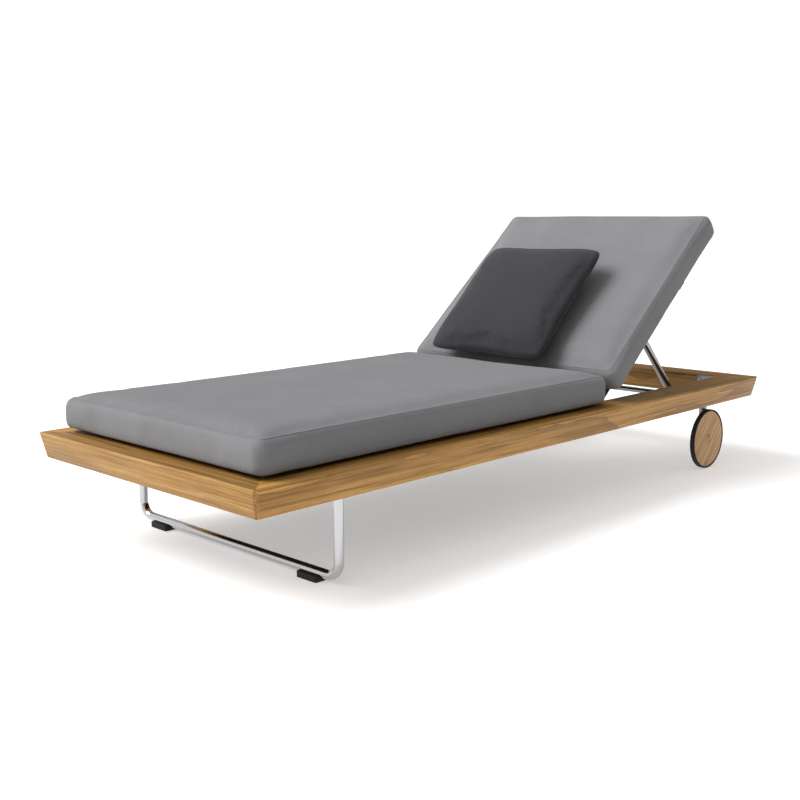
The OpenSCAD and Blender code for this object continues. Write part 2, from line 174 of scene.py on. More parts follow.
def modified(obj, kind, **settings):
    """Adds one modifier and turns its result into the object's own mesh."""
    set_all(obj.modifiers.new(kind.title(), kind), settings)
    return settle_modifiers(obj)


def settle_modifiers(obj):
    """Turns what the modifiers show into the object's own mesh."""
    shown = obj.evaluated_get(bpy.context.evaluated_depsgraph_get())
    mesh = bpy.data.meshes.new_from_object(shown)
    obj.modifiers.clear()
    obj.data = mesh
    return obj


def get_points(obj, what="co"):
    """The object's points, or their normals, as an array of rows."""
    flat = np.empty(len(obj.data.vertices) * 3)
    obj.data.vertices.foreach_get(what, flat)
    return flat.reshape(-1, 3)


def set_points(obj, points):
    """Puts the object's points where the rows say."""
    obj.data.vertices.foreach_set("co", np.asarray(points, float).ravel())
    obj.data.update()


def surface_tree(obj):
    """An object's faces, ready to be searched."""
    return BVHTree.FromPolygons(
        [v.co for v in obj.data.vertices], [p.vertices for p in obj.data.polygons])


def local_box(node, place):
    """A node's lowest and highest corners, measured in another frame."""
    inverse = place.inverted()
    points = np.array([inverse @ v.co for v in NODES[node].data.vertices])
    return Vector(points.min(0)), Vector(points.max(0))


def middle(node):
    """The middle of a node's box."""
    low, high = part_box(node)
    return (low + high) / 2


def arc(centre, radius, start, end, steps):
    """Points of an arc in a plane, with its angles in degrees."""
    angles = [math.radians(start + (end - start) * i / steps) for i in range(steps + 1)]
    return [(centre[0] + radius * math.cos(a), centre[1] + radius * math.sin(a)) for a in angles]


def strips(rows, columns, closed_rows=False, closed_columns=False):
    """Faces between neighbouring rows of points, each row one after another."""
    faces = []
    for i in range(rows if closed_rows else rows - 1):
        here, there = i * columns, (i + 1) % rows * columns
        for k in range(columns if closed_columns else columns - 1):
            after = (k + 1) % columns
            faces.append((here + k, here + after, there + after, there + k))
    return faces


def mirrored(half, total=0.0):
    """Half of a profile and its mirror image, total being the whole length along the axis."""
    return [*half, *[(total - along, radius) for along, radius in reversed(half)]]


def turned(name, profile, origin, axis, closed=False, segments=96):
    """A turned piece: (distance along the axis, radius) pairs, spun round the axis."""
    axis = Vector(axis).normalized()
    side = axis.orthogonal().normalized()
    up = axis.cross(side)
    points = []
    for i in range(segments):
        turn = 2 * math.pi * i / segments
        spoke = side * math.cos(turn) + up * math.sin(turn)
        points += [Vector(origin) + axis * along + spoke * radius for along, radius in profile]
    faces = strips(segments, len(profile), True, closed)
    return outward(mesh_from(name, points, faces), slivers=True)


def tube(name, path, radius, sides=32, closed=False):
    """A round bar along a path, its frame carried along without twist."""
    path = [Vector(p) for p in path]
    count = len(path)
    points = []
    normal = None
    for i, here in enumerate(path):
        before = path[i - 1] if i or closed else here
        after = path[(i + 1) % count] if i < count - 1 or closed else here
        tangent = (after - before).normalized()
        if normal is None:
            normal = tangent.orthogonal()
        normal = (normal - tangent * normal.dot(tangent)).normalized()
        other = tangent.cross(normal)
        for k in range(sides):
            turn = 2 * math.pi * k / sides
            points.append(here + radius * (normal * math.cos(turn) + other * math.sin(turn)))
    faces = strips(count, sides, closed, True)
    if not closed:
        faces.append(tuple(range(sides - 1, -1, -1)))
        faces.append(tuple((count - 1) * sides + k for k in range(sides)))
    return outward(mesh_from(name, points, faces))


def merged_copy(node, name):
    """A copy of a node's mesh, with its loose triangles joined into whole faces."""
    shape = bmesh.new()
    shape.from_mesh(NODES[node].data)
    bmesh.ops.remove_doubles(shape, verts=shape.verts, dist=1e-5)
    bmesh.ops.dissolve_limit(
        shape, angle_limit=math.radians(0.8), verts=shape.verts, edges=shape.edges)
    mesh = bpy.data.meshes.new(name)
    shape.to_mesh(mesh)
    shape.free()
    if "custom_normal" in mesh.attributes:
        mesh.attributes.remove(mesh.attributes["custom_normal"])
    return add_object(name, mesh)


def eased(node, radius, segments=2):
    """A node's shape with every hard edge rounded over, as a separate piece."""
    return modified(
        merged_copy(node, node + "_eased"), "BEVEL", width=radius, segments=segments,
        limit_method="ANGLE", angle_limit=math.radians(28), use_clamp_overlap=True)


# The sharpest fold, in degrees, that is still shaded as smooth, for each kind of piece.
FLAT = 32
TURNED = 40
ROUND = 50
SOFT = 80


def finish_piece(piece, material, body, stands_for=(), smooth=FLAT):
    """Gives a piece its material, its shading, its body and the nodes it shows."""
    piece.data.materials.clear()
    piece.data.materials.append(material)
    piece.data.shade_smooth()
    piece.data.set_sharp_from_angle(angle=math.radians(smooth))
    if stands_for:
        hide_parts(*stands_for)
    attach(piece, body)
    return piece


def eased_nodes(nodes, radius, material, body, segments=2):
    """Eases several nodes that share a finish."""
    for node in nodes:
        finish_piece(eased(node, radius, segments), material, body, [node])


# ---- materials ----


class Nodes:
    """A node tree, whose nodes are added one after another."""

    def __init__(self, tree):
        self.tree = tree

    def node(self, kind, inputs=None, **settings):
        """Adds a node; an input is a plain value, or a socket to link."""
        made = self.tree.nodes.new(kind if "Node" in kind else "ShaderNode" + kind)
        set_all(made, settings)
        for key, value in (inputs or {}).items():
            self.feed(made.inputs[key], value)
        return made

    def feed(self, socket, value):
        """Links a socket, or sets its value."""
        if isinstance(value, bpy.types.NodeSocket):
            self.tree.links.new(value, socket)
        elif isinstance(value, (tuple, list, Vector)) or hasattr(value, "hsv"):
            wanted = len(socket.default_value)
            socket.default_value = (*value, 1.0)[:wanted]
        else:
            socket.default_value = value

    def span(self, value, low, high, start=0.0, end=1.0):
        """Maps a value from start..end to low..high."""
        return self.node(
            "MapRange",
            {"Value": value, "From Min": start, "From Max": end, "To Min": low, "To Max": high},
        ).outputs["Result"]

    def math(self, operation, first, second=0.0):
        """One step of arithmetic."""
        made = self.node("Math", operation=operation)
        self.feed(made.inputs[0], first)
        self.feed(made.inputs[1], second)
        return made.outputs["Value"]


class Finish(Nodes):
    """A new node material."""

    def __init__(self, name):
        self.material = bpy.data.materials.new(name)
        self.material.use_nodes = True
        super().__init__(self.material.node_tree)
        self.shader = self.tree.nodes["Principled BSDF"]

    def place(self, scale=(1, 1, 1), rotation=(0, 0, 0), location=(0, 0, 0)):
        """Object coordinates, scaled, turned and moved."""
        where = self.node("TexCoord").outputs["Object"]
        return self.stretch(where, scale, rotation, location)

    def stretch(self, where, scale, rotation=(0, 0, 0), location=(0, 0, 0)):
        """Coordinates, scaled, turned and moved."""
        return self.node(
            "Mapping",
            {"Vector": where, "Scale": scale, "Rotation": rotation, "Location": location},
        ).outputs["Vector"]

    def noise(self, vector, scale, detail=3.0, roughness=0.5, distortion=0.0):
        """The value of a noise texture."""
        return self.node(
            "TexNoise",
            {"Vector": vector, "Scale": scale, "Detail": detail, "Roughness": roughness,
             "Distortion": distortion},
        ).outputs["Fac"]

    def ramp(self, value, stops):
        """Maps a value to colours: (place, colour) pairs."""
        made = self.node("ValToRGB", {"Fac": value})
        elements = made.color_ramp.elements
        while len(elements) < len(stops):
            elements.new(0.5)
        for element, (place, colour) in zip(elements, stops):
            element.position = place
            element.color = (*colour, 1.0)
        return made.outputs["Color"]

    def mix(self, factor, first, second, blend="MIX"):
        """Mixes two colours."""
        made = self.node("Mix", data_type="RGBA", blend_type=blend)
        for socket, value in zip((made.inputs[0], made.inputs[6], made.inputs[7]),
                                 (factor, first, second)):
            self.feed(socket, value)
        return made.outputs[2]

    def grey(self, value):
        """The same value for red, green and blue."""
        return self.node("CombineXYZ", dict.fromkeys("XYZ", value)).outputs["Vector"]

    def bump(self, height, strength, distance, under=None):
        """Bump from a height, over another bump if there is one."""
        inputs = {"Height": height, "Strength": strength, "Distance": distance}
        if under is not None:
            inputs["Normal"] = under
        return self.node("Bump", inputs).outputs["Normal"]

    def set(self, **values):
        """Sets the shader's sockets by name, with _ for a space."""
        for key, value in values.items():
            self.feed(self.shader.inputs[key.replace("_", " ")], value)
        return self.material


def timber(name, rotation=(0, 0, 0), offset=(0, 0, 0), tone=(1, 1, 1), figure=1.0):
    """Oiled hardwood whose grain runs along X before the rotation is applied; tone scales its
    colours, and on the foot and side rails, battens, cross rail and wheels that scaling is painted
    light and shade.
    """
    colour = colours()
    wood = Finish(name)
    along = wood.place((1, 1, 1), rotation, offset)

    def stretched(*scale):
        return wood.stretch(along, scale)

    streaks = wood.noise(stretched(1.6, 48, 48), 1.0, 5.0, 0.66, 0.9)
    wander = wood.noise(stretched(2.2, 7, 7), 1.0, 2.0, 0.5, 0.4)
    rings = wood.node(
        "TexWave",
        {"Vector": stretched(0.9, 6.5 * figure, 4.5 * figure), "Scale": 1.6, "Distortion": 7.5,
         "Detail": 3.0, "Detail Scale": 1.1, "Detail Roughness": 0.55},
        wave_type="BANDS", bands_direction="Y", wave_profile="SAW",
    ).outputs["Fac"]
    lines = wood.noise(stretched(3.2, 150, 150), 1.0, 4.0, 0.6, 0.5)
    fibres = wood.noise(stretched(14, 520, 520), 1.0, 3.0, 0.7)
    pores = wood.noise(stretched(34, 900, 900), 1.0, 1.0, 0.4)
    light, mid, dark = (
        [c * t for c, t in zip(shade, tone)]
        for shade in (colour.timber_light, colour.timber_mid, colour.timber_dark))
    base = wood.ramp(streaks, [(0.33, dark), (0.44, mid), (0.54, mid), (0.66, light)])
    warm = wood.mix(wood.span(wander, 0.0, 0.5, 0.35, 0.7), base, light)
    ringed = wood.mix(wood.span(rings, 0.0, 0.55, 0.55, 1.0), warm, dark)
    dimmed = wood.ramp(lines, [(0.36, (0.5, 0.42, 0.34)), (0.56, (1.06,) * 3)])
    lined = wood.mix(0.7, ringed, dimmed, "MULTIPLY")
    fibred = wood.mix(0.42, lined, wood.ramp(fibres, [(0.3, (0.45,) * 3), (0.7, (1.08,) * 3)]),
                      "MULTIPLY")
    pored = wood.mix(wood.span(pores, 0.55, 0.0, 0.22, 0.36), fibred, dark)
    grain = wood.bump(fibres, 0.35, 0.0006)
    ridge = wood.bump(rings, 0.12, 0.0008, grain)
    return wood.set(
        Base_Color=pored, Roughness=wood.span(fibres, 0.34, 0.52), Normal=ridge,
        Specular_IOR_Level=0.25)


def woven(name, colour, place=Matrix.Identity(4), thread=0.0009, underside_shade_level=None, melange=0.10):
    """Plain woven outdoor fabric; below a height in its own frame it turns black: the mesh fabric
    below the cushion, and painted shade where that black runs up the sides.
    """
    cloth = Finish(name)
    inverse = place.inverted()
    where = cloth.place((1, 1, 1), inverse.to_euler("XYZ"), inverse.translation)
    axes = cloth.node("SeparateXYZ", {"Vector": where}).outputs
    turns = math.pi / thread

    def threads(axis, phase=0.0):
        scaled = cloth.math("ADD", cloth.math("MULTIPLY", axis, turns), phase)
        return cloth.math("SINE", scaled)

    over = cloth.math("MULTIPLY", threads(axes["X"]), threads(axes["Y"]))
    side = cloth.math("MULTIPLY", cloth.math("ADD", threads(axes["X"]), threads(axes["Y"])),
                      threads(axes["Z"]))
    weave = cloth.math("ADD", over, side)
    slubs = cloth.noise(cloth.stretch(where, (900, 90, 900)), 1.0, 2.0)
    cross_slubs = cloth.noise(cloth.stretch(where, (90, 900, 900)), 1.0, 2.0)
    mottle = cloth.noise(where, 9.0, 3.0, 0.55)
    fleck = cloth.math("ADD", slubs, cross_slubs)
    shade = cloth.span(fleck, 1.0 - melange, 1.0 + melange, 0.7, 1.3)
    worn = cloth.span(mottle, 0.955, 1.045, 0.3, 0.7)
    dip = cloth.span(weave, 0.90, 1.04, -1.6, 1.6)
    value = cloth.math("MULTIPLY", cloth.math("MULTIPLY", shade, worn), dip)
    grey = cloth.grey(value)
    face = cloth.mix(1.0, colour, grey, "MULTIPLY")
    # Below that level the colour is the black of the mesh fabric below, and painted shade where it
    # runs up the sides along the cushion's base.
    if underside_shade_level is not None:
        level = cloth.math("ADD", axes["Z"], cloth.span(mottle, -0.0006, 0.0006, 0.3, 0.7))
        is_underside_shade = cloth.math("LESS_THAN", level, underside_shade_level)
        under = cloth.mix(1.0, colours().underside_and_shade, grey, "MULTIPLY")
        face = cloth.mix(is_underside_shade, face, under)
    threads_bump = cloth.bump(weave, 0.30, thread * 0.35)
    soft_bump = cloth.bump(fleck, 0.18, 0.0008, threads_bump)
    return cloth.set(
        Base_Color=face, Roughness=0.86, Normal=soft_bump, Specular_IOR_Level=0.22,
        Sheen_Weight=0.12, Sheen_Roughness=0.5)


def polished_steel(name, tone=1.0):
    """Polished stainless tube, with faint wipe marks; a tone below one darkens it as painted shade.
    """
    steel = Finish(name)
    base = [c * tone for c in colours().polished]
    marks = steel.noise(steel.place((3, 3, 60)), 4.0, 4.0)
    return steel.set(
        Base_Color=base, Metallic=1.0, Roughness=steel.span(marks, 0.06, 0.17),
        Normal=steel.bump(marks, 0.03, 0.0004))


def brushed_steel(name):
    """Brushed stainless flat bar, the brush marks running along Y."""
    steel = Finish(name)
    where = steel.place((900, 12, 900))
    marks = steel.noise(where, 1.0, 3.0, 0.6)
    cloudy = steel.noise(steel.place(), 24.0, 3.0)
    base = colours().brushed
    pale = [c * 1.25 for c in base]
    return steel.set(
        Base_Color=steel.mix(cloudy, base, pale), Metallic=1.0,
        Roughness=steel.span(marks, 0.26, 0.46), Normal=steel.bump(marks, 0.10, 0.0003))


def black_finish(name, roughness, grain, strength, lift=1.0, shine=0.3):
    """A black finish with a fine grain: powder coat, laminate or rubber."""
    coat = Finish(name)
    where = coat.place()
    speckle = coat.noise(where, grain, 2.0, 0.6)
    dust = coat.noise(where, 14.0, 4.0, 0.6)
    base = [c * lift for c in colours().black]
    dusty = [c * 1.5 + 0.002 for c in base]
    return coat.set(
        Base_Color=coat.mix(coat.span(dust, 0.0, 0.6, 0.35, 0.75), base, dusty),
        Roughness=coat.span(speckle, roughness - 0.08, roughness + 0.08),
        Normal=coat.bump(speckle, strength, 0.0004), Specular_IOR_Level=shine)


def webbing_finish(name):
    """Flat webbing: ribs across the band."""
    band = Finish(name)
    where = band.place()
    axes = band.node("SeparateXYZ", {"Vector": where}).outputs
    ribs = band.math("SINE", band.math("MULTIPLY", axes["X"], math.pi / 0.0011))
    fuzz = band.noise(where, 900.0, 2.0)
    tone = band.span(band.math("ADD", ribs, fuzz), 0.8, 1.15, -1.0, 2.0)
    return band.set(
        Base_Color=band.mix(1.0, colours().webbing, band.grey(tone), "MULTIPLY"), Roughness=0.72,
        Normal=band.bump(ribs, 0.4, 0.0003), Specular_IOR_Level=0.3)


def shared(name, make, *details, **more):
    """A material by name, made the first time it is asked for."""
    return bpy.data.materials.get(name) or make(name, *details, **more)


# ---- the lounger's operators ----


class LOUNGER_OT_timber(bpy.types.Operator):
    """Ease and oil the rails, battens and racks"""

    bl_idname = "lounger.timber"
    bl_label = "Timber"

    def execute(self, context):
        radius = sizes().arris
        lengthways = (0, 0, math.pi / 2)
        across = (0, 0, 0)
        # The foot rail's tone is painted shade and the side rails' tone is painted light.
        rails = (
            ("foot_rail", "Foot rail timber", across, (0.3, 0.11, 0.07), FOOT_PAINTED_SHADE),
            ("head_rail", "Head rail timber", across, (2.1, 0.43, 0.31), (1, 1, 1)),
            ("side_rail_left", "Left rail timber", lengthways, (1.4, 0.2, 0.5), SIDE_PAINTED_LIGHT),
            ("side_rail_right", "Right rail timber", lengthways, (3.2, 0.63, 0.17), SIDE_PAINTED_LIGHT),
        )
        for node, name, *grain in rails:
            eased_nodes([node], radius, timber(name, *grain), "frame", 3)
        # The battens, racks, foot batten and cross rail are darkened as painted shade.
        batten = timber("Batten timber", lengthways, (5.0, 0.9, 0.8), SHADED_TONE)
        eased_nodes(["batten_left", "batten_right", "rack_left", "rack_right"], radius * 0.7,
                    batten, "frame")
        cross = timber("Cross rail timber", across, (6.0, 1.7, 1.2), SHADED_TONE)
        eased_nodes(["batten_foot", "cross_rail"], radius, cross, "frame")
        return {"FINISHED"}


def leg_path():
    """The leg tube's centreline: down one upright, along the bar and up the other."""
    low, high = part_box("leg_tube")
    radius = (high.y - low.y) / 2
    bend = sizes().leg_bend
    reach = high.x - radius
    bottom = low.z + radius
    right = arc((reach - bend, bottom + bend), bend, 0, -90, 20)
    left = arc((bend - reach, bottom + bend), bend, -90, -180, 20)
    outline = [(reach, high.z), *right, *left, (-reach, high.z)]
    depth = (low.y + high.y) / 2
    return [(x, depth, z) for x, z in outline], radius


class LOUNGER_OT_steelwork(bpy.types.Operator):
    """Bend the leg and finish the brackets, tracks, plates and foot pads"""

    bl_idname = "lounger.steelwork"
    bl_label = "Steelwork"

    def execute(self, context):
        path, radius = leg_path()
        polish = shared("Polished steel", polished_steel)
        finish_piece(tube("leg_bent_tube", path, radius, 48), polish, "frame",
                     ["leg_tube"], ROUND)
        edge = sizes().metal_edge
        eased_nodes(["leg_bushes"], edge, polish, "frame")
        brushed = shared("Brushed steel", brushed_steel)
        flats = ["track", "wheel_bracket", "hinge_plate", "axle_bolt"]
        nodes = [f"{flat}_{side}" for flat in flats for side in SIDES]
        nodes += ["corner_brackets", "corner_screws", "hinge_pins", "track_screws",
                  "bracket_screws", "axle_spacers"]
        eased_nodes(nodes, edge, brushed, "frame")
        rubber = shared("Foot rubber", black_finish, roughness=0.72, grain=1400.0,
                        strength=0.25, lift=1.3)
        eased_nodes([f"foot_pad_{side}" for side in SIDES], edge * 2.5, rubber,
                    "frame")
        return {"FINISHED"}


class LOUNGER_OT_wheels(bpy.types.Operator):
    """Turn the timber wheels, their tyres and their hub plugs"""

    bl_idname = "lounger.wheels"
    bl_label = "Wheels"

    def execute(self, context):
        for side, sign in zip(SIDES, (-1, 1)):
            self.make_disc(side, sign)
            self.make_tyre(side, sign)
            self.make_plug(side, sign)
        return {"FINISHED"}

    def place_turned(self, node, sign):
        """A round node's radius, its thickness and the middle of its inner face."""
        low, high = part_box(node)
        inner = Vector((low.x if sign > 0 else high.x, *middle(node)[1:]))
        return (high.z - low.z) / 2, high.x - low.x, inner

    def make_disc(self, side, sign):
        """A disc with a rounded outer rim and a shallow well for the plug."""
        node = "wheel_disc_" + side
        radius, thick, inner = self.place_turned(node, sign)
        plug_r = self.place_turned("hub_cap_" + side, sign)[0]
        seat = thick - 0.0016
        bolt_r = 0.0061
        round_r = 0.003
        rim = [(thick - round_r + y, radius - round_r + x)
               for x, y in arc((0, 0), round_r, 0, 90, 6)]
        profile = [(0.0, bolt_r), (0.0, radius - 0.002), (0.0006, radius - 0.0006),
                   (0.002, radius), *rim, (thick, plug_r + 0.0004), (seat, plug_r),
                   (seat, bolt_r)]
        disc = turned("wheel_turned_disc_" + side, profile, inner, X * sign, True, 128)
        # The wheels' timber is lightened as painted light, where the frame shades them.
        grain = timber("Wheel timber " + side, (math.radians(-48), 0, math.pi / 2),
                       (0.4 * sign, 3.1, 0.2), WHEEL_PAINTED_LIGHT, figure=1.6)
        finish_piece(disc, grain, "wheel_" + side, [node], TURNED)

    def make_tyre(self, side, sign):
        """A flat rubber band with rounded shoulders and a fine groove along its middle."""
        node = "tyre_" + side
        radius, thick, inner = self.place_turned(node, sign)
        inner_r = self.place_turned("wheel_disc_" + side, sign)[0]
        edge = 0.0012
        shoulder = arc((0, 0), edge, 0, 90, 5)
        near = [(edge - x, radius - edge + y) for x, y in shoulder]
        far = [(thick - edge + y, radius - edge + x) for x, y in shoulder]
        groove = [(thick / 2 - 0.0008, radius), (thick / 2, radius - 0.0007),
                  (thick / 2 + 0.0008, radius)]
        profile = [(0.0, inner_r), *near, *groove, *far, (thick, inner_r)]
        band = turned("tyre_band_" + side, profile, inner, X * sign, True, 128)
        rubber = shared("Tyre rubber", black_finish, roughness=0.66, grain=1600.0,
                        strength=0.18, lift=1.2)
        finish_piece(band, rubber, "wheel_" + side, [node], TURNED)

    def make_plug(self, side, sign):
        """A domed plug that covers the axle bolt."""
        node = "hub_cap_" + side
        radius, thick, inner = self.place_turned(node, sign)
        steps = 10
        seat = thick * 0.38
        turns = [i / steps * math.pi / 2 for i in range(steps)]
        dome = [(seat + (thick - seat) * math.sin(t), radius * math.cos(t)) for t in turns]
        profile = [(0.0, 0.0), (0.0, radius), *dome, (thick, 0.0)]
        plug = turned("hub_plug_" + side, profile, inner, X * sign, False, 48)
        grain = shared("Plug timber", timber, offset=(0.9, 0.2, 0.6), tone=PLUG_TONE)
        finish_piece(plug, grain, "wheel_" + side, [node], ROUND)


class LOUNGER_OT_backrest(bpy.types.Operator):
    """Finish the backrest's bars and board, its struts and the cross rod"""

    bl_idname = "lounger.backrest"
    bl_label = "Backrest"

    def execute(self, context):
        edge = sizes().metal_edge
        coat = shared("Black powder coat", black_finish, roughness=0.5, grain=2200.0, strength=0.22)
        bars = [f"back_bar_{end}" for end in ("left", "right", "top", "bottom", "middle")]
        eased_nodes([*bars, "board_screws"], edge, coat, "backrest")
        seat_bars = [f"seat_bar_{end}" for end in ("left", "right", "foot", "head")]
        eased_nodes([*seat_bars, "seat_cross_bars"], edge, coat, "frame")
        laminate = shared("Black laminate", black_finish, roughness=0.78, grain=900.0,
                          strength=0.10, lift=0.8, shine=0.12)
        eased_nodes(["back_board"], edge * 2, laminate, "backrest")
        eased_nodes(["seat_board"], edge * 2, laminate, "frame")
        # A darker copy of the polished steel for the struts, barrels and cross rod: painted shade.
        polish = shared("Dark polished steel", polished_steel, tone=0.62)
        bright = shared("Polished steel", polished_steel)
        eased_nodes(["strut_bracket_left", "strut_bracket_right", "strut_pins"], edge, bright,
                    "backrest")
        for side in SIDES:
            self.make_strut(side, polish)
        low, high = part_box("cross_rod")
        radius = (high.z - low.z) / 2
        reach = high.x
        chamfer = 0.001
        profile = mirrored([(-reach, 0.0), (-reach, radius - chamfer), (chamfer - reach, radius)])
        rod = turned("cross_rod_turned", profile, middle("cross_rod"), X, False, 40)
        finish_piece(rod, polish, "struts", ["cross_rod"], TURNED)
        return {"FINISHED"}

    def make_strut(self, side, polish):
        """A tube between two cross barrels, with a collar where it enters each."""
        node = "strut_" + side
        low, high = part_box(node)
        centre_x = (low.x + high.x) / 2
        top = Vector((centre_x, *middle("strut_pins")[1:]))
        bottom = Vector((centre_x, *middle("cross_rod")[1:]))
        axis = (bottom - top).normalized()
        length = (bottom - top).length
        width = high.x - low.x
        tube_r = width / 2 - 0.0008
        neck_r = tube_r - 0.0015
        barrel_r = tube_r + 0.0003
        body = mirrored([(0.0, 0.0), (0.0, neck_r), (0.018, neck_r), (0.0185, tube_r),
                         (0.021, tube_r), (0.0215, tube_r - 0.0005)], length)
        shaft = turned("strut_tube_" + side, body, top, axis, False, 48)
        finish_piece(shaft, polish, "struts", [node], TURNED)
        half = width / 2
        bevel = 0.0015
        rim = [(-half, barrel_r - bevel), (bevel - half, barrel_r)]
        for end, place, bore in (("top", top, 0.0041), ("foot", bottom, 0.0081)):
            profile = mirrored([(-half, bore), *rim])
            barrel = turned(f"strut_barrel_{end}_{side}", profile, place, X, True, 48)
            finish_piece(barrel, polish, "struts", [], TURNED)


# ---- cushions ----


def rounded_block(name, low, high, radius, base_radius, voxel):
    """A closed block with rounded edges, tighter ones round its base, remeshed evenly."""
    shape = bmesh.new()
    bmesh.ops.create_cube(shape, size=1.0)
    size = high - low
    centre = (high + low) / 2
    for vert in shape.verts:
        vert.co = Vector((vert.co.x * size.x, vert.co.y * size.y, vert.co.z * size.z)) + centre
    upper = [edge for edge in shape.edges if any(v.co.z > centre.z for v in edge.verts)]
    bmesh.ops.bevel(shape, geom=upper, offset=radius, segments=6, profile=0.5,
                    affect="EDGES", clamp_overlap=True)
    base = [edge for edge in shape.edges if all(v.co.z < low.z + 1e-5 for v in edge.verts)]
    bmesh.ops.bevel(shape, geom=base, offset=base_radius, segments=4, profile=0.5,
                    affect="EDGES", clamp_overlap=True)
    mesh = bpy.data.meshes.new(name)
    shape.to_mesh(mesh)
    shape.free()
    return modified(add_object(name, mesh), "REMESH", mode="VOXEL", voxel_size=voxel)


def fill(obj, pressure, cap, frames=20, stiffness=18.0, bending=0.8, give=1.0):
    """Fills a closed cover with Cloth, caps how far it swells and leaves a plain mesh.

    give is the share of any inward pull that is kept."""
    scene = bpy.context.scene
    start = get_points(obj)
    outward_way = get_points(obj, "normal")
    cloth = obj.modifiers.new("Filling", "CLOTH")
    settings = cloth.settings
    set_all(settings, {
        "quality": 5, "mass": 0.3, "tension_stiffness": stiffness,
        "compression_stiffness": stiffness, "shear_stiffness": stiffness / 2,
        "bending_stiffness": bending, "use_pressure": True, "uniform_pressure_force": pressure})
    settings.effector_weights.gravity = 0.0
    cloth.point_cache.frame_start = 1
    cloth.point_cache.frame_end = frames
    for number in range(1, frames + 1):
        scene.frame_set(number)
    settle_modifiers(obj)
    scene.frame_set(1)
    shift = get_points(obj) - start
    rise = (shift * outward_way).sum(1, keepdims=True)
    shift -= outward_way * np.minimum(rise, 0.0) * (1.0 - give)
    length = np.linalg.norm(shift, axis=1, keepdims=True) + 1e-9
    set_points(obj, start + shift / length * cap * np.tanh(length / cap))
    return obj


def relax(obj, factor, repeat):
    """Smooths a mesh's points."""
    return modified(obj, "SMOOTH", factor=factor, iterations=repeat)


def subdivide(obj):
    """One level of subdivision surface."""
    return modified(obj, "SUBSURF", levels=1, render_levels=1)


def ripple(obj, height, stretch, seed):
    """Adds slow hollows and swells along the normals, as in a cover that has been sat on."""
    points = get_points(obj)
    normals = get_points(obj, "normal")
    offset = Vector((seed, seed * 0.7, seed * 1.3))
    waves = np.array([noise.noise(Vector(p * stretch) + offset) for p in points])
    set_points(obj, points + normals * (waves * height)[:, None])


def fit_box(obj, low, high):
    """Stretches an object's points to fill a box."""
    points = get_points(obj)
    bottom = points.min(0)
    reach = points.max(0) - bottom
    low = np.array(low)
    high = np.array(high)
    set_points(obj, low + (points - bottom) / reach * (high - low))


def crown(obj, low, high, reach, drop):
    """Lets a cushion's top fall away softly towards its four sides."""
    points = get_points(obj)
    inner = np.minimum(points[:, :2] - np.array(low[:2]), np.array(high[:2]) - points[:, :2])
    nearness = 1.0 - np.clip(inner.min(1) / reach, 0.0, 1.0)
    height = np.clip((points[:, 2] - low.z) / (high.z - low.z), 0.0, 1.0)
    points[:, 2] -= drop * nearness ** 2 * height ** 2
    set_points(obj, points)


def make_cushion(name, low, high, place, base, seed):
    """A boxed cushion, flat where it rests, in its own frame and then put in place."""
    inset = Vector((0.004, 0.004, 0.004))
    edge = 0.020
    cushion = rounded_block(name, low + inset, high - inset, edge, base, sizes().cushion_voxel)
    fill(cushion, pressure=4.0, cap=sizes().cushion_cap, give=0.3)
    relax(cushion, factor=0.5, repeat=3)
    ripple(cushion, height=0.0022, stretch=np.array([5.0, 2.6, 5.0]), seed=seed)
    crown(cushion, low, high, reach=0.12, drop=0.009)
    fit_box(cushion, low - Vector((0.002, 0.002, 0.002)), high + Vector((0.002, 0.002, 0.006)))
    subdivide(cushion)
    points = get_points(cushion)
    lift = 0.0004
    points[:, 2] = np.maximum(points[:, 2], low.z + lift)
    set_points(cushion, points)
    cushion.data.transform(place)
    return cushion


def edge_loop(low, high, level, inset, corner, pitch):
    """Points round a cushion's edge at one level, and the way in from each."""
    half = (high - low) / 2
    centre = (high + low) / 2
    wide = half.x - inset
    deep = half.y - inset
    outline = []
    for sx, sy, start in ((1, 1, 0), (-1, 1, 90), (-1, -1, 180), (1, -1, 270)):
        middle_point = (sx * (wide - corner), sy * (deep - corner))
        outline += arc(middle_point, corner, start, start + 90, 8)
    outline.append(outline[0])
    loop = []
    for a, b in zip(outline, outline[1:]):
        run = math.dist(a, b)
        steps = max(1, round(run / pitch))
        loop += [(a[0] + (b[0] - a[0]) * i / steps, a[1] + (b[1] - a[1]) * i / steps)
                 for i in range(steps)]
    return [Vector((centre.x + x, centre.y + y, level)) for x, y in loop], centre


def seam_path(cushion, place, low, high, top):
    """Follows a cushion's upper or lower edge on its surface."""
    tree = surface_tree(cushion)
    level = high.z if top else low.z
    loop, centre = edge_loop(low, high, level, inset=0.004, corner=0.022, pitch=0.008)
    half = (high - low) / 2
    slope = 1.0 if top else -0.55
    near_corner = 0.9
    reach = 0.05
    path = []
    for point in loop:
        x = point.x - centre.x
        y = point.y - centre.y
        ratio_x = abs(x) / half.x
        ratio_y = abs(y) / half.y
        if min(ratio_x, ratio_y) >= near_corner:
            out = Vector((math.copysign(ratio_x - near_corner, x),
                          math.copysign(ratio_y - near_corner, y), 0))
        elif ratio_x >= ratio_y:
            out = Vector((math.copysign(1, x), 0, 0))
        else:
            out = Vector((0, math.copysign(1, y), 0))
        away = (out.normalized() + Vector((0, 0, slope))).normalized()
        hit = tree.ray_cast(place @ (point + away * reach), place.to_3x3() @ -away)[0]
        if hit is not None:
            path.append(hit)
    return path


def smooth_loop(path, repeat=3):
    """Evens out a closed path."""
    points = np.array([tuple(p) for p in path])
    for _ in range(repeat):
        points = (np.roll(points, 1, 0) + points * 2 + np.roll(points, -1, 0)) / 4
    return [Vector(p) for p in points]


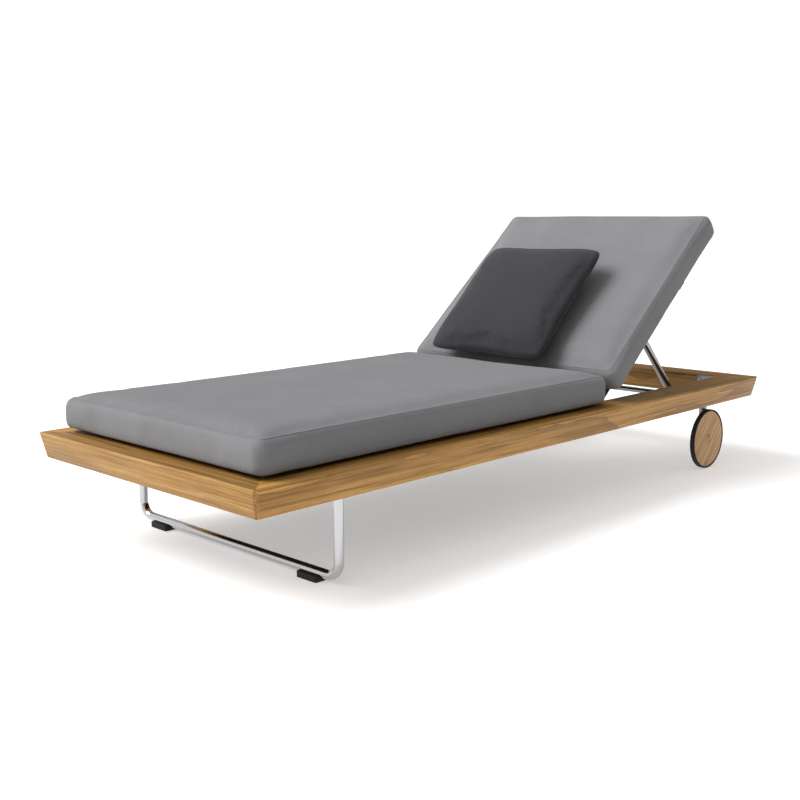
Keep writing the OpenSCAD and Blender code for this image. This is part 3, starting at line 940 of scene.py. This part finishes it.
STITCH_SEGMENTS = 6
STITCH_RINGS = 4
STITCH_POINTS = STITCH_SEGMENTS * (STITCH_RINGS - 1) + 2


def stitch_tree():
    """Geometry nodes that set stitches along a path: pitch, length, thickness, material."""
    made = bpy.data.node_groups.get("Stitch row")
    if made:
        return made
    tree = bpy.data.node_groups.new("Stitch row", "GeometryNodeTree")
    interface = tree.interface
    interface.new_socket("Geometry", in_out="INPUT", socket_type="NodeSocketGeometry")
    for label, default in (("Pitch", 0.006), ("Length", 0.004), ("Thickness", 0.0005)):
        socket = interface.new_socket(label, in_out="INPUT", socket_type="NodeSocketFloat")
        socket.default_value = default
    interface.new_socket("Material", in_out="INPUT", socket_type="NodeSocketMaterial")
    interface.new_socket("Geometry", in_out="OUTPUT", socket_type="NodeSocketGeometry")
    row = Nodes(tree)

    def step(kind, inputs=None, **settings):
        return row.node(kind, inputs, **settings).outputs[0]

    given = row.node("NodeGroupInput").outputs
    curve = step("GeometryNodeMeshToCurve", {"Mesh": given["Geometry"]})
    spaced = step("GeometryNodeResampleCurve", {"Curve": curve, "Length": given["Pitch"]},
                  mode="LENGTH")
    tangent = step("GeometryNodeInputTangent")
    turn = step("FunctionNodeAlignEulerToVector", {"Vector": tangent}, axis="X")
    ball = step("GeometryNodeMeshUVSphere",
                {"Segments": STITCH_SEGMENTS, "Rings": STITCH_RINGS, "Radius": 0.5})
    thickness = given["Thickness"]
    size = step("CombineXYZ", {"X": given["Length"], "Y": thickness, "Z": thickness})
    placed = step("GeometryNodeInstanceOnPoints",
                  {"Points": spaced, "Instance": ball, "Rotation": turn, "Scale": size})
    real = step("GeometryNodeRealizeInstances", {"Geometry": placed})
    coloured = step("GeometryNodeSetMaterial", {"Geometry": real, "Material": given["Material"]})
    row.node("NodeGroupOutput", {"Geometry": coloured})
    return tree


def stitch_row(name, path, pitch, length, thickness, material):
    """Stitches along a closed path, as a plain mesh."""
    count = len(path)
    mesh = bpy.data.meshes.new(name)
    mesh.from_pydata([tuple(p) for p in path], [(i, (i + 1) % count) for i in range(count)], [])
    row = add_object(name, mesh)
    tree = stitch_tree()
    values = {"Pitch": pitch, "Length": length, "Thickness": thickness, "Material": material}
    modifier = row.modifiers.new("Stitches", "NODES")
    modifier.node_group = tree
    for item in tree.interface.items_tree:
        if item.in_out == "INPUT" and item.name in values:
            modifier[item.identifier] = values[item.name]
    return settle_modifiers(row)


def add_seams(label, cushion, place, low, high, fabric, thread, body):
    """A rolled seam round the cushion's upper and lower edges, with stitches beside the upper one.
    """
    for top, word in ((True, "upper"), (False, "lower")):
        path = smooth_loop(seam_path(cushion, place, low, high, top))
        seam = tube(f"{label}_{word}_seam", path, sizes().seam, 8, True)
        finish_piece(seam, fabric, body, [], SOFT)
        if top:
            centre = sum(path, Vector()) / len(path)
            drop = (place.to_3x3() @ Z) * -0.0042
            beside = [p + drop + (p - centre).normalized() * 0.0016 for p in path]
            row = stitch_row(f"{label}_{word}_stitches", beside, sizes().stitch_pitch,
                             sizes().stitch_pitch * 0.62, 0.0007, thread)
            lay_on(row, cushion, 0.0001)
            finish_piece(row, thread, body, [], SOFT)


def lay_on(obj, surface, lift):
    """Moves each stitch of a row so that its middle lies on a surface."""
    tree = surface_tree(surface)
    points = get_points(obj)
    for start in range(0, len(points), STITCH_POINTS):
        part = points[start:start + STITCH_POINTS]
        centre = Vector(part.mean(0))
        spot, normal = tree.find_nearest(centre)[:2]
        if spot is not None:
            part += np.array(spot + normal * lift - centre)
    set_points(obj, points)


def dress_cushion(node, label, box, place, body, base, seed):
    """Fills a cushion, covers it in fabric whose black mesh bottom is also painted shade along its
    base, and sews its seams.
    """
    low, high = box
    cushion = make_cushion(node + "_filled", low, high, place, base, seed)
    shade = colours().cushion
    # The black reaches 7 mm above the cushion's base: painted shade along its lower edge, over the
    # mesh fabric below.
    underside_and_shade = low.z + 0.007
    fabric = woven(label + " fabric", shade, place, sizes().thread, underside_and_shade)
    finish_piece(cushion, fabric, body, [node], SOFT)
    thread = woven(label + " thread", [c * 1.1 for c in shade], place, 0.0005)
    add_seams(node, cushion, place, low, high, fabric, thread, body)


class LOUNGER_OT_seat_cushion(bpy.types.Operator):
    """Fill the seat cushion and sew its seams"""

    bl_idname = "lounger.seat_cushion"
    bl_label = "Seat cushion"

    def execute(self, context):
        dress_cushion("seat_cushion", "Seat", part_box("seat_cushion"), Matrix.Identity(4),
                      "frame", base=0.011, seed=3.0)
        return {"FINISHED"}


class LOUNGER_OT_back_cushion(bpy.types.Operator):
    """Fill the back cushion and sew its seams"""

    bl_idname = "lounger.back_cushion"
    bl_label = "Back cushion"

    def execute(self, context):
        dress_cushion("back_cushion", "Back", local_box("back_cushion", BACK), BACK,
                      "back_pad", base=0.022, seed=11.0)
        return {"FINISHED"}


PILLOW_LEAN = math.radians(3.5)


def pillow_frame():
    """The pillow's own frame and its width, length and thickness, from its node's points."""
    low, high = local_box("pillow", BACK)
    centre = (low + high) / 2
    place = BACK @ Matrix.Translation(centre) @ Matrix.Rotation(PILLOW_LEAN, 4, "X")
    box_low, box_high = local_box("pillow", place)
    return place, np.array(box_high - box_low)


def pillow_cover(name, size, count):
    """Two panels sewn together at their edge, and the points of that edge in order."""
    points = []
    index = {}
    for layer in (1, -1):
        for i in range(count + 1):
            for j in range(count + 1):
                u = 2 * i / count - 1
                v = 2 * j / count - 1
                if layer < 0 and (i in (0, count) or j in (0, count)):
                    index[layer, i, j] = index[1, i, j]
                    continue
                corner = 1 - 0.07 * abs(u * v) ** 6
                x = u * corner * (1 - 0.018 * (1 - v * v))
                y = v * corner * (1 - 0.018 * (1 - u * u))
                full = ((1 - abs(u) ** 2.6) * (1 - abs(v) ** 2.6)) ** 0.46
                index[layer, i, j] = len(points)
                points.append((x * size[0] / 2, y * size[1] / 2, layer * full * size[2] / 2))
    faces = []
    for layer in (1, -1):
        for i in range(count):
            for j in range(count):
                face = [index[layer, i, j], index[layer, i + 1, j], index[layer, i + 1, j + 1],
                        index[layer, i, j + 1]]
                faces.append(face if layer > 0 else face[::-1])
    rim = [index[1, i, 0] for i in range(count)]
    rim += [index[1, count, j] for j in range(count)]
    rim += [index[1, i, count] for i in range(count, 0, -1)]
    rim += [index[1, 0, j] for j in range(count, 0, -1)]
    return mesh_from(name, points, faces), rim


class LOUNGER_OT_pillow(bpy.types.Operator):
    """Fill the throw pillow and lean it on the back cushion"""

    bl_idname = "lounger.pillow"
    bl_label = "Pillow"

    def execute(self, context):
        place, size = pillow_frame()
        pillow, rim = pillow_cover("pillow_filled", size * np.array([1.03, 1.03, 0.92]), 84)
        fill(pillow, pressure=5.0, cap=0.013, frames=22, stiffness=16.0, bending=0.3, give=0.6)
        fit_box(pillow, -size / 2, size / 2)
        relax(pillow, factor=0.35, repeat=2)
        ripple(pillow, height=0.0024, stretch=np.array([7.0, 7.0, 7.0]), seed=21.0)
        pillow.data.transform(place)
        self.clear_cushion(pillow)
        edge = [pillow.data.vertices[i].co.copy() for i in rim]
        subdivide(pillow)
        fabric = woven("Pillow fabric", colours().pillow, place, thread=0.0007, melange=0.16)
        finish_piece(pillow, fabric, "back_pad", ["pillow"], SOFT)
        seam = tube("pillow_seam", smooth_loop(edge, 2), sizes().seam, 8, True)
        finish_piece(seam, fabric, "back_pad", [], SOFT)
        return {"FINISHED"}

    def clear_cushion(self, pillow):
        """Presses the pillow's back flat where it would sink into the back cushion."""
        tree = surface_tree(bpy.data.objects["back_cushion_filled"])
        out = BACK.to_3x3() @ Z
        points = get_points(pillow)
        start = 0.3
        gap = 0.0015
        for row, point in enumerate(points):
            hit, _, _, distance = tree.ray_cast(Vector(point) + out * start, -out)
            if hit is not None and distance < start + gap:
                points[row] = hit + out * gap
        set_points(pillow, points)


class LOUNGER_OT_strap(bpy.types.Operator):
    """Lay the webbing strap round the panel and sew its ends to the cushion"""

    bl_idname = "lounger.strap"
    bl_label = "Strap"

    def execute(self, context):
        low, high = local_box("back_strap", BACK)
        cushion_low, cushion_high = local_box("back_cushion", BACK)
        thick = sizes().strap_thick
        under = cushion_low.z
        edge_x = cushion_high.x
        rear = low.z + thick / 2
        side = local_box("back_board", BACK)[1].x + 0.0006 + thick / 2
        corner = 0.004
        half = [(0.0, rear), (side - corner, rear)]
        half += arc((side - corner, rear + corner), corner, -90, 0, 6)[1:]
        half += arc((side + corner, under - thick / 2 - 0.0001 - corner), corner, 180, 90, 6)
        sewn = [(edge_x - 0.016, under + 0.0005), (edge_x - 0.010, under + 0.003),
                (edge_x - 0.005, under + 0.008), (edge_x - 0.003, under + 0.013)]
        half += [self.on_cushion(x, z, (low.y + high.y) / 2, thick) for x, z in sewn]
        path = [(-x, z) for x, z in reversed(half[1:])] + half
        self.make_band(path, low.y, high.y, thick)
        return {"FINISHED"}

    def on_cushion(self, x, z, y, thick):
        """The nearest place to a point on the outside of the back cushion."""
        cushion = bpy.data.objects["back_cushion_filled"]
        spot, normal = cushion.closest_point_on_mesh(BACK @ Vector((x, y, z)))[1:3]
        flat = BACK.inverted() @ (spot + normal * (thick / 2 + 0.0003))
        return flat.x, flat.z

    def make_band(self, path, y0, y1, thick):
        """Sweeps a thin band with slightly rolled edges along the path."""
        rows = 7
        points = []
        count = len(path)
        for i, (x, z) in enumerate(path):
            ax, az = path[max(0, i - 1)]
            bx, bz = path[min(count - 1, i + 1)]
            run = Vector((bx - ax, 0, bz - az)).normalized()
            normal = Vector((run.z, 0, -run.x))
            for k in range(rows):
                share = k / (rows - 1)
                crown = -0.0003 * math.sin(share * math.pi)
                y = y0 + (y1 - y0) * share
                points.append(Vector((x, y, z)) + normal * crown)
        band = mesh_from("strap_band", points, strips(count, rows))
        outward(modified(band, "SOLIDIFY", thickness=thick, offset=0.0))
        band.data.transform(BACK)
        finish_piece(band, shared("Strap webbing", webbing_finish), "back_pad",
                     ["back_strap"], TURNED)


# ---- stage ----

CAMERA_PLACE = (1.923, -2.206, 0.751)
CAMERA_YAW = 43.82
CAMERA_PITCH = 9.6
CAMERA_LENS = 48.93
FLOOR_GLOW = 0.4
# The sky is brightest toward one side; its strength behind and in front, and what the top adds.
SKY_FRONT = (-0.62, -0.76, 0.18)
SKY_SIDES = (0.06, 1.14)
SKY_TOP = 0.72
KEY_TOWARD = (-0.55, -0.62, 0.85)
KEY_STRENGTH = 3.0
KEY_SPREAD = 38.0


class LOUNGER_OT_stage(bpy.types.Operator):
    """Set the floor, the studio light and the camera"""

    bl_idname = "lounger.stage"
    bl_label = "Stage"

    def execute(self, context):
        scene = context.scene
        self.make_floor()
        self.make_sky(scene)
        self.add_sun("Key light", KEY_TOWARD, KEY_STRENGTH, KEY_SPREAD)
        lens = bpy.data.cameras.new("Camera")
        lens.lens = CAMERA_LENS
        lens.sensor_width = 36.0
        camera = bpy.data.objects.new("Camera", lens)
        camera.location = CAMERA_PLACE
        camera.rotation_euler = (math.radians(90 - CAMERA_PITCH), 0, math.radians(CAMERA_YAW))
        scene.collection.objects.link(camera)
        scene.camera = camera
        scene.view_settings.view_transform = "Standard"
        return {"FINISHED"}

    def make_floor(self):
        """A wide pale floor."""
        reach = 30.0
        floor = mesh_from("studio_floor", [(-reach, -reach, 0), (reach, -reach, 0),
                                           (reach, reach, 0), (-reach, reach, 0)], [(0, 1, 2, 3)])
        paper = Finish("Floor paper")
        mottle = paper.noise(paper.place(), 3.0, 2.0)
        floor.data.materials.append(paper.set(
            Base_Color=paper.mix(mottle, (0.74, 0.74, 0.74), (0.77, 0.77, 0.77)),
            Roughness=0.9, Specular_IOR_Level=0.1, Emission_Color=(1, 1, 1),
            Emission_Strength=FLOOR_GLOW))

    def make_sky(self, scene):
        """Soft light from all round, dimmer on the lounger's right; a white backdrop."""
        world = bpy.data.worlds.new("Studio")
        world.use_nodes = True
        sky = Nodes(world.node_tree)
        sky.tree.nodes.clear()
        where = sky.node("TexCoord").outputs["Generated"]
        toward = sky.node("VectorMath", {0: where, 1: SKY_FRONT}, operation="DOT_PRODUCT")
        front = sky.span(toward.outputs["Value"], *SKY_SIDES)
        height = sky.node("SeparateXYZ", {"Vector": where}).outputs["Z"]
        strength = sky.math("ADD", front, sky.span(height, 0.0, SKY_TOP))
        soft = sky.node("Background", {"Strength": strength})
        backdrop = sky.node("Background", {"Color": (1, 1, 1)})
        seen = sky.node("LightPath").outputs["Is Camera Ray"]
        mixed = sky.node("MixShader", {"Fac": seen, 1: soft.outputs[0], 2: backdrop.outputs[0]})
        sky.node("OutputWorld", {"Surface": mixed.outputs[0]})
        scene.world = world

    def add_sun(self, name, toward, strength, spread):
        """A broad, even light from one direction."""
        data = bpy.data.lights.new(name, "SUN")
        data.energy = strength
        data.angle = math.radians(spread)
        light = bpy.data.objects.new(name, data)
        light.rotation_euler = Vector(toward).to_track_quat("Z", "Y").to_euler()
        bpy.context.scene.collection.objects.link(light)


OPERATORS = (
    LOUNGER_OT_stage, LOUNGER_OT_timber, LOUNGER_OT_steelwork, LOUNGER_OT_wheels,
    LOUNGER_OT_backrest, LOUNGER_OT_seat_cushion, LOUNGER_OT_back_cushion, LOUNGER_OT_pillow,
    LOUNGER_OT_strap,
)


class LOUNGER_PT_panel(bpy.types.Panel):
    """The lounger's sizes, colours and pieces"""

    bl_idname = "LOUNGER_PT_panel"
    bl_label = "Lounger"
    bl_space_type = "VIEW_3D"
    bl_region_type = "UI"
    bl_category = "Lounger"

    def draw(self, context):
        for group in (context.scene.lounger_sizes, context.scene.lounger_colours):
            for name in group.__annotations__:
                self.layout.prop(group, name)
        for operator in OPERATORS:
            self.layout.operator(operator.bl_idname)


CLASSES = (LOUNGER_PG_sizes, LOUNGER_PG_colours, *OPERATORS, LOUNGER_PT_panel)


def register():
    for item in CLASSES:
        bpy.utils.register_class(item)
    bpy.types.Scene.lounger_sizes = PointerProperty(type=LOUNGER_PG_sizes)
    bpy.types.Scene.lounger_colours = PointerProperty(type=LOUNGER_PG_colours)


def unregister():
    del bpy.types.Scene.lounger_sizes
    del bpy.types.Scene.lounger_colours
    for item in reversed(CLASSES):
        bpy.utils.unregister_class(item)


def main():
    register()
    bpy.ops.lounger.stage()
    bpy.ops.lounger.timber()
    bpy.ops.lounger.steelwork()
    bpy.ops.lounger.wheels()
    bpy.ops.lounger.backrest()
    bpy.ops.lounger.seat_cushion()
    bpy.ops.lounger.back_cushion()
    bpy.ops.lounger.pillow()
    bpy.ops.lounger.strap()


if __name__ == "__main__":
    main()
